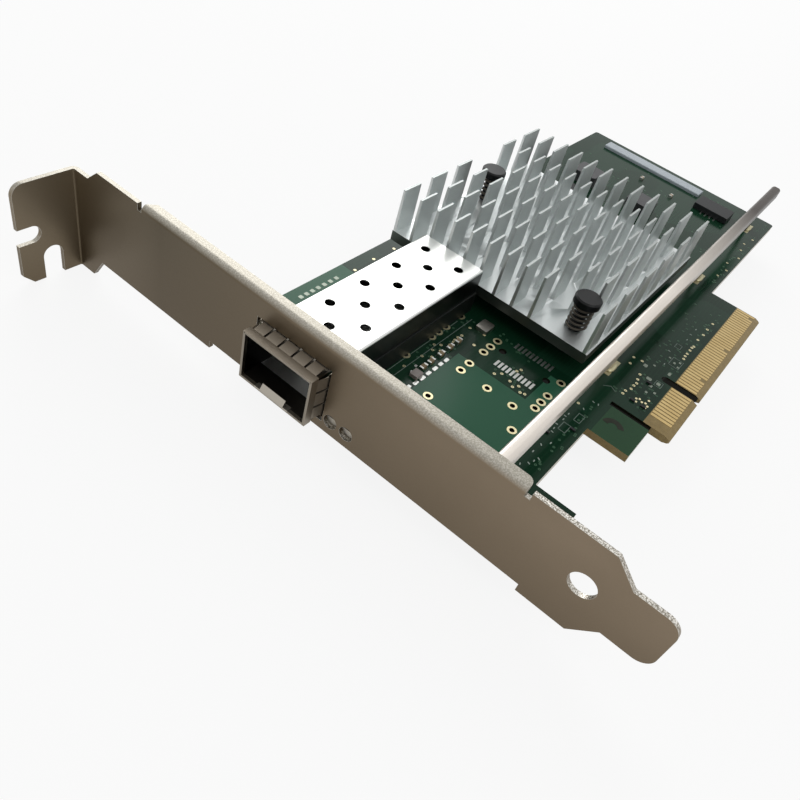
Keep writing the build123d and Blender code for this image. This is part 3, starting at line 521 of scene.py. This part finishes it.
# Stacked outlines: an outline is |x/a|^p + |y/b|^p = 1 by angle, where corner = 2/p. It is drawn
# once per level, shrunk by that level's inset and lifted to its height, turned, and moved to its
# place. Levels are joined by quads and closed by a cap below and above.
def stackedForms(places, sizes, turns, levels, corner, sides):
    places, sizes = np.atleast_2d(places).astype(float), np.atleast_2d(sizes).astype(float)
    count = len(places)
    sizes = np.broadcast_to(sizes, (count, 2))
    turns = np.radians(np.broadcast_to(np.atleast_1d(turns), (count,)).astype(float))
    angle = (np.arange(sides) + 0.5) * 2 * np.pi / sides
    unit = np.stack([np.sign(np.cos(angle)) * np.abs(np.cos(angle)) ** corner,
                     np.sign(np.sin(angle)) * np.abs(np.sin(angle)) ** corner], 1)
    levels = np.asarray(levels, float)
    half = sizes[:, None, :] / 2 - levels[None, :, :1]
    flat = half[:, :, None, :] * unit[None, None]
    cosine, sine = np.cos(turns)[:, None, None], np.sin(turns)[:, None, None]
    x = flat[..., 0] * cosine - flat[..., 1] * sine + places[:, 0, None, None]
    y = flat[..., 0] * sine + flat[..., 1] * cosine + places[:, 1, None, None]
    z = np.broadcast_to(levels[None, :, 1, None], x.shape)
    index = np.arange(x.size).reshape(x.shape)
    after = np.roll(index, -1, 2)
    walls = np.stack([index[:, :-1], after[:, :-1], after[:, 1:], index[:, 1:]], -1).reshape(-1, 4)
    return (np.stack([x, y, z], -1),
            walls.tolist() + index[:, 0, ::-1].tolist() + index[:, -1].tolist())


# A ring: the closed profile (inner low, outer low, outer high, inner high) turned about its place.
def ringForms(places, inner, outer, low, high, sides):
    places = np.atleast_2d(places).astype(float)
    angle = np.arange(sides) * 2 * np.pi / sides
    radius = np.array([inner, outer, outer, inner])
    height = np.array([low, low, high, high])
    x = radius[None, :] * np.cos(angle)[:, None] + places[:, 0, None, None]
    y = radius[None, :] * np.sin(angle)[:, None] + places[:, 1, None, None]
    z = np.broadcast_to(height[None, None, :], x.shape)
    index = np.arange(x.size).reshape(x.shape)
    turned, risen = np.roll(index, -1, 1), np.roll(index, -1, 2)
    faces = np.stack([index, turned, np.roll(turned, -1, 2), risen], -1).reshape(-1, 4)
    return np.stack([x, y, z], -1), faces[:, ::-1].tolist()


# A flat line: a rectangle profile carried along a path, mitred at its corners, closed at its ends.
def lineForm(path, width, low, high):
    path = np.asarray(path, float)
    step = np.diff(path, axis=0)
    step /= np.linalg.norm(step, axis=1, keepdims=True)
    side = np.stack([-step[:, 1], step[:, 0]], 1)
    before, after = np.vstack([side[:1], side]), np.vstack([side, side[-1:]])
    mitre = before + after
    mitre *= (width / (mitre * after).sum(1))[:, None]
    left, right = path + mitre / 2, path - mitre / 2
    points = np.stack([np.column_stack([flat, np.full(len(path), z)]) for flat, z in (
        (right, low), (left, low), (left, high), (right, high))], 1)
    index = np.arange(len(path) * 4).reshape(-1, 4)
    walls = np.stack([index[:-1], np.roll(index[:-1], -1, 1), np.roll(index[1:], -1, 1),
                      index[1:]], -1).reshape(-1, 4)
    return points, walls[:, ::-1].tolist() + [index[0].tolist(), index[-1, ::-1].tolist()]


# Several forms as one mesh: each one's corner numbers follow on from the last one's.
def joinForms(forms):
    points, faces, start = [], [], 0
    for formPoints, formFaces in forms:
        flat = np.asarray(formPoints).reshape(-1, 3)
        points.append(flat)
        faces += [[corner + start for corner in face] for face in formFaces]
        start += len(flat)
    return np.vstack(points), faces


# Small vias: gold rings under the mask's edge, where the traces change side.
vias = {"inner": 0.12, "outer": 0.3, "low": 0.0, "high": 0.02, "sides": 12, "places": [
    (-23.33, 40.9), (-24.43, 41.03), (-25.5, 40.98), (-26.21, 40.83), (-27.45, 40.76),
    (-28.87, 41.83), (-30.29, 40.91), (-29.85, 42.7), (-31.3, 42.0), (-32.9, 40.94),
    (-23.62, 37.84), (-19.51, 38.2), (-20.15, 41.16), (-38.92, 42.7), (-34.2, 42.26),
    (9.57, 7.4), (10.72, 7.55), (11.86, 7.53), (13.48, 7.54), (14.71, 7.6), (15.52, 7.45),
    (18.54, 7.7), (21.4, 7.5), (24.1, 7.6), (27.3, 7.5),
    (-11.07, 11.76), (-9.89, 11.73), (-8.51, 11.18), (-7.16, 11.21), (-6.08, 11.1),
    (-4.83, 11.44), (-3.07, 11.76), (0.73, 14.9), (-1.67, 14.6), (1.12, 13.18),
    (-27.05, 30.92), (-25.88, 30.0), (-26.32, 27.92), (-27.19, 26.82), (-26.09, 26.14),
    (-27.29, 25.12), (-26.96, 24.3), (-21.95, 28.14), (-22.94, 28.5), (-25.11, 66.1),
    (-19.05, 66.3), (-12.52, 66.2), (-31.47, 16.7), (-20.67, 16.4), (48.0, 13.9), (52.4, 13.2),
    (56.1, 14.3), (61.3, 13.0), (66.0, 14.0), (70.2, 14.5), (74.6, 13.6)]}
addPiece("smallVias", *ringForms(**vias), "ringGold", "contact_gold")

# Tented vias: rings of copper under the mask, strewn over the signal areas of both faces. An area
# is its low corner, its high corner and its count.
tented = {"inner": 0.1, "outer": 0.27, "high": 0.012, "sides": 8, "seed": 11, "backZ": -1.57}
tentedAreas = {
    "front": [((-12.5, 6.6), (-1.7, 13.8), 28), ((1.7, 6.6), (32, 13.8), 56),
              ((-42.5, 12.9), (-17, 14.6), 20), ((42, 12.9), (87, 14.6), 24),
              ((-48, 38.8), (-17, 43.6), 46), ((44, 20), (86, 66), 60),
              ((-27, 25), (-22, 32), 14), ((-18.8, 25), (-16, 37), 12)],
    "back": [((-12, 20), (40, 24), 40), ((-2, 28), (12, 66), 90), ((22, 28), (86, 66), 150),
             ((1.7, 6.6), (36, 14), 60), ((44, 18), (86, 30), 40), ((-48, 61), (-18, 67), 30)]}
draw = np.random.default_rng(tented["seed"])


def strewnRings(areas, low, high):
    places = np.vstack([draw.uniform(*corners, (count, 2)) for *corners, count in areas])
    return ringForms(places, tented["inner"], tented["outer"], low, high, tented["sides"])


addPiece("tentedVias", *joinForms([
    strewnRings(tentedAreas["front"], 0.0, tented["high"]),
    strewnRings(tentedAreas["back"], tented["backZ"] - tented["high"], tented["backZ"])]),
    "tented", "solder_mask")

# Bare solder lands: short pads with rounded corners, each place with its own size and turn. Those
# beside the tongue and above the cage are dull, with a painted reflection of the green mask, and
# those beside the cage are bright.
lands = {"levels": [(0, 0), (0, 0.03), (0.02, 0.05)], "corner": 0.35, "sides": 16}
landTables = {
    "dull": [
        (-2.72, 9.95, 0.9, 1.1, 0), (-4.41, 8.83, 0.7, 0.7, 0), (-2.59, 7.93, 0.9, 0.8, 0),
        (-6.83, 8.71, 0.6, 0.5, 0), (-5.69, 7.41, 0.6, 0.5, 0), (0.45, 12.12, 1.0, 0.8, 0),
        (2.08, 10.85, 0.5, 0.5, 0), (7.32, 9.59, 0.4, 0.5, 0), (6.47, 8.23, 0.6, 0.5, 0),
        (7.52, 7.41, 0.6, 0.5, 0), (5.76, 7.18, 0.5, 0.5, 0), (2.24, 7.57, 1.1, 0.6, 0),
        (-39.97, 66.5, 0.9, 0.9, 0), (-38.45, 66.5, 0.9, 0.9, 0), (-36.9, 66.5, 0.9, 0.9, 0),
        (-35.3, 66.5, 0.9, 0.9, 0), (-33.6, 66.5, 0.9, 0.9, 0), (-31.9, 66.5, 0.9, 0.9, 0),
        (-30.2, 66.5, 0.9, 0.9, 0)],
    "bright": [
        (-38.9, 40.9, 0.5, 0.7, 0), (-37.15, 41.4, 0.6, 0.5, 0), (-42.6, 38.95, 1.5, 0.7, 8),
        (-40.6, 38.8, 1.3, 0.7, 4), (-38.7, 38.75, 1.4, 0.7, 0), (-36.8, 38.8, 1.2, 0.7, 0),
        (-34.9, 38.75, 1.3, 0.7, 0), (-33.1, 38.8, 1.1, 0.7, 0), (-31.4, 38.75, 1.2, 0.7, 0)]}


def landForms(key):
    table = np.array(landTables[key])
    return stackedForms(table[:, :2], table[:, 2:4], table[:, 4], **lands)


# The dull lands carry a painted reflection of the green mask.
addPiece("agedLands", *landForms("dull"), "dullTin", "tin_plate")
addPiece("solderLands", *landForms("bright"), "tin", "tin_plate")

# Gold test pads beside the tongue.
testPads = {"sizes": (0.5, 0.42), "turns": 0, "levels": [(0, 0), (0, 0.04)], "corner": 0.4,
            "sides": 12, "places": [
                (-10.17, 9.3), (-9.75, 8.75), (-10.2, 8.1), (-9.9, 7.45), (-10.4, 6.85),
                (-11.1, 7.0), (-8.69, 7.27), (-11.0, 9.0)]}
addPiece("goldTestPads", *stackedForms(**testPads), "ringGold", "contact_gold")

# White ink: plain outlines and dashes, with no words. A dash is its place and its turn.
ink = {"high": 0.015, "width": 0.14, "dash": (0.55, 0.2), "corner": 0.4, "sides": 8, "lines": [
    [(-12.3, 15.4), (-11.2, 14.2), (-12.0, 12.9)],
    [(-3.5, 8.6), (-1.7, 8.6), (-1.7, 7.2), (-3.5, 7.2), (-3.5, 8.6)],
    [(5.2, 9.1), (8.2, 9.1), (8.2, 6.9), (5.2, 6.9), (5.2, 9.1)],
    [(11.7, 9.2), (13.2, 9.2), (13.2, 10.4), (11.7, 10.4), (11.7, 9.2)],
    [(-29.4, 15.9), (-27.1, 15.9), (-27.1, 14.5), (-29.4, 14.5), (-29.4, 15.9)],
    [(-25.2, 15.0), (-22.9, 15.0), (-22.9, 13.8), (-25.2, 13.8), (-25.2, 15.0)],
    [(-44.0, 42.4), (-17.6, 42.4)], [(-43.2, 43.9), (-20.5, 43.9)]], "dashes": [
    (-41.62, 16.3, 20), (-40.34, 15.35, 70), (-39.2, 15.0, 10), (-38.18, 14.67, 60),
    (-37.51, 16.19, 0), (-35.1, 16.0, 45), (-33.44, 15.01, 0), (-30.9, 16.2, 80),
    (-29.9, 16.4, 0), (-28.6, 16.6, 90), (-26.6, 16.3, 0), (-25.6, 16.5, 90),
    (-24.6, 16.3, 0), (-21.2, 15.0, 40), (-18.0, 14.6, 75), (-17.9, 13.6, 20),
    (4.4, 9.6, 0), (9.3, 10.6, 90), (16.4, 9.4, 0), (18.9, 9.5, 90), (21.7, 9.4, 0)]}
dashTable = np.array(ink["dashes"])
addPiece("inkDashes", *stackedForms(
    dashTable[:, :2], ink["dash"], dashTable[:, 2], [(0, 0), (0, ink["high"])], ink["corner"],
    ink["sides"]), "legend", "solder_mask")
addPiece("inkLines", *joinForms([
    lineForm(path, ink["width"], 0.0, ink["high"]) for path in ink["lines"]]),
    "greyLegend", "solder_mask")

# A plain curved mark on the hook: an arc of a circle, drawn as one wide line.
hookMark = {"centre": (-20.9, 9.2), "radius": 1.55, "from": 88, "to": -70, "steps": 24,
            "width": 1.15, "high": 0.015}
sweep = np.radians(np.linspace(hookMark["from"], hookMark["to"], hookMark["steps"]))
arc = hookMark["radius"] * np.stack([np.cos(sweep), np.sin(sweep)], 1) + hookMark["centre"]
addPiece("curvedMark", *lineForm(arc, hookMark["width"], 0.0, hookMark["high"]),
         "darkInk", "solder_mask")

# Solder on the rail's feet: low domes, each level narrower than the one below.
feet = {"places": [(-6.3, 16.6), (42.0, 16.6), (79.6, 16.6)], "sizes": (3.6, 1.7), "turns": 0,
        "levels": [(0, 0.04), (0.1, 0.28), (0.3, 0.46), (0.6, 0.58)], "corner": 0.8, "sides": 24}
addPiece("footSolder", *stackedForms(**feet), "solder", "tin_plate", smooth=True)
print("board detail")

# Studio: a pale floor, white surroundings, a broad soft light beyond the card and a weaker one
# beside it. Sizes and places are in mm, and directions point from the card to the light.
studio = {"floorZ": -8.05, "floorSize": 5000, "floorTone": "#f2f2f0", "whiteShare": 0.88,
          "worldTone": "#eef0f2", "worldLight": 0.5, "aim": (15, 40, 0), "lights": {
              "keyLight": {"direction": (0.55, 0.66, 0.51), "distance": 700, "size": 520,
                           "power": 2.5},
              "sideLight": {"direction": (-0.15, -0.6, 0.8), "distance": 800, "size": 500,
                            "power": 0.9}}}


# The share of plain white, which is a strength of 1, that the camera and reflections see in the
# floor and the world. Other rays get the floor's and the world's own light.
def seenShare(tree, share):
    path = addNode(tree, "ShaderNodeLightPath")
    seen = largestOf(tree, [path.outputs[ray] for ray in (
        "Is Camera Ray", "Is Glossy Ray", "Is Transmission Ray")])
    return addNode(tree, "ShaderNodeMath", {"operation": "MULTIPLY"},
                   {0: seen, 1: share}).outputs[0]


def studioFloor():
    half = studio["floorSize"] / 2 * mm
    z = studio["floorZ"] * mm
    mesh = bpy.data.meshes.new("paperFloor")
    mesh.from_pydata([(-half, -half, z), (half, -half, z), (half, half, z), (-half, half, z)], [],
                     [(0, 1, 2, 3)])
    floor = bpy.data.objects.new("paperFloor", mesh)
    bpy.context.scene.collection.objects.link(floor)
    material = bpy.data.materials.new("whitePaper")
    material.use_nodes = True
    tree = material.node_tree
    tree.nodes.clear()
    paper = addNode(tree, "ShaderNodeBsdfDiffuse", inputs={"Color": studio["floorTone"]})
    glow = addNode(tree, "ShaderNodeEmission", inputs={"Color": "#ffffff", "Strength": 1.0})
    both = addNode(tree, "ShaderNodeMixShader", inputs={
        0: seenShare(tree, studio["whiteShare"]), 1: paper.outputs[0], 2: glow.outputs[0]})
    addNode(tree, "ShaderNodeOutputMaterial", inputs={"Surface": both.outputs[0]})
    mesh.materials.append(material)


def studioWorld():
    world = bpy.data.worlds.new("studioWorld")
    bpy.context.scene.world = world
    world.use_nodes = True
    tree = world.node_tree
    tree.nodes.clear()
    soft = addNode(tree, "ShaderNodeBackground", inputs={
        "Color": studio["worldTone"], "Strength": studio["worldLight"]})
    white = addNode(tree, "ShaderNodeBackground", inputs={"Color": "#ffffff", "Strength": 1.0})
    both = addNode(tree, "ShaderNodeMixShader", inputs={
        0: seenShare(tree, 1.0), 1: soft.outputs[0], 2: white.outputs[0]})
    addNode(tree, "ShaderNodeOutputWorld", inputs={"Surface": both.outputs[0]})


def softLight(name, direction, distance, size, power):
    lamp = bpy.data.lights.new(name, "AREA")
    lamp.shape = "SQUARE"
    lamp.size = size * mm
    lamp.energy = power
    light = bpy.data.objects.new(name, lamp)
    bpy.context.scene.collection.objects.link(light)
    away = Vector(direction).normalized()
    light.location = (Vector(studio["aim"]) + away * distance) * mm
    light.rotation_euler = away.to_track_quat("Z", "Y").to_euler()


studioFloor()
studioWorld()
for lightName, values in studio["lights"].items():
    softLight(lightName, **values)

# Camera: fitted to the photograph, for a square image.
camera = {"place": (-126.71, -0.98, 85.89), "forward": (0.65006753, 0.31408106, -0.69192867),
          "up": (0.45875362, 0.56369459, 0.68687228), "lens": 33.711, "sensor": 36.0, "near": 1}


def photoCamera():
    data = bpy.data.cameras.new("photoCamera")
    data.lens = camera["lens"]
    data.sensor_width = camera["sensor"]
    data.clip_start = camera["near"] * mm
    data.clip_end = studio["floorSize"] * mm
    viewer = bpy.data.objects.new("photoCamera", data)
    bpy.context.scene.collection.objects.link(viewer)
    forward = Vector(camera["forward"]).normalized()
    right = forward.cross(Vector(camera["up"])).normalized()
    turned = Matrix((right, right.cross(forward), -forward)).transposed().to_4x4()
    viewer.matrix_world = Matrix.Translation(Vector(camera["place"]) * mm) @ turned
    bpy.context.scene.camera = viewer


photoCamera()
bpy.context.scene.view_settings.view_transform = "Standard"
print("studio and camera")
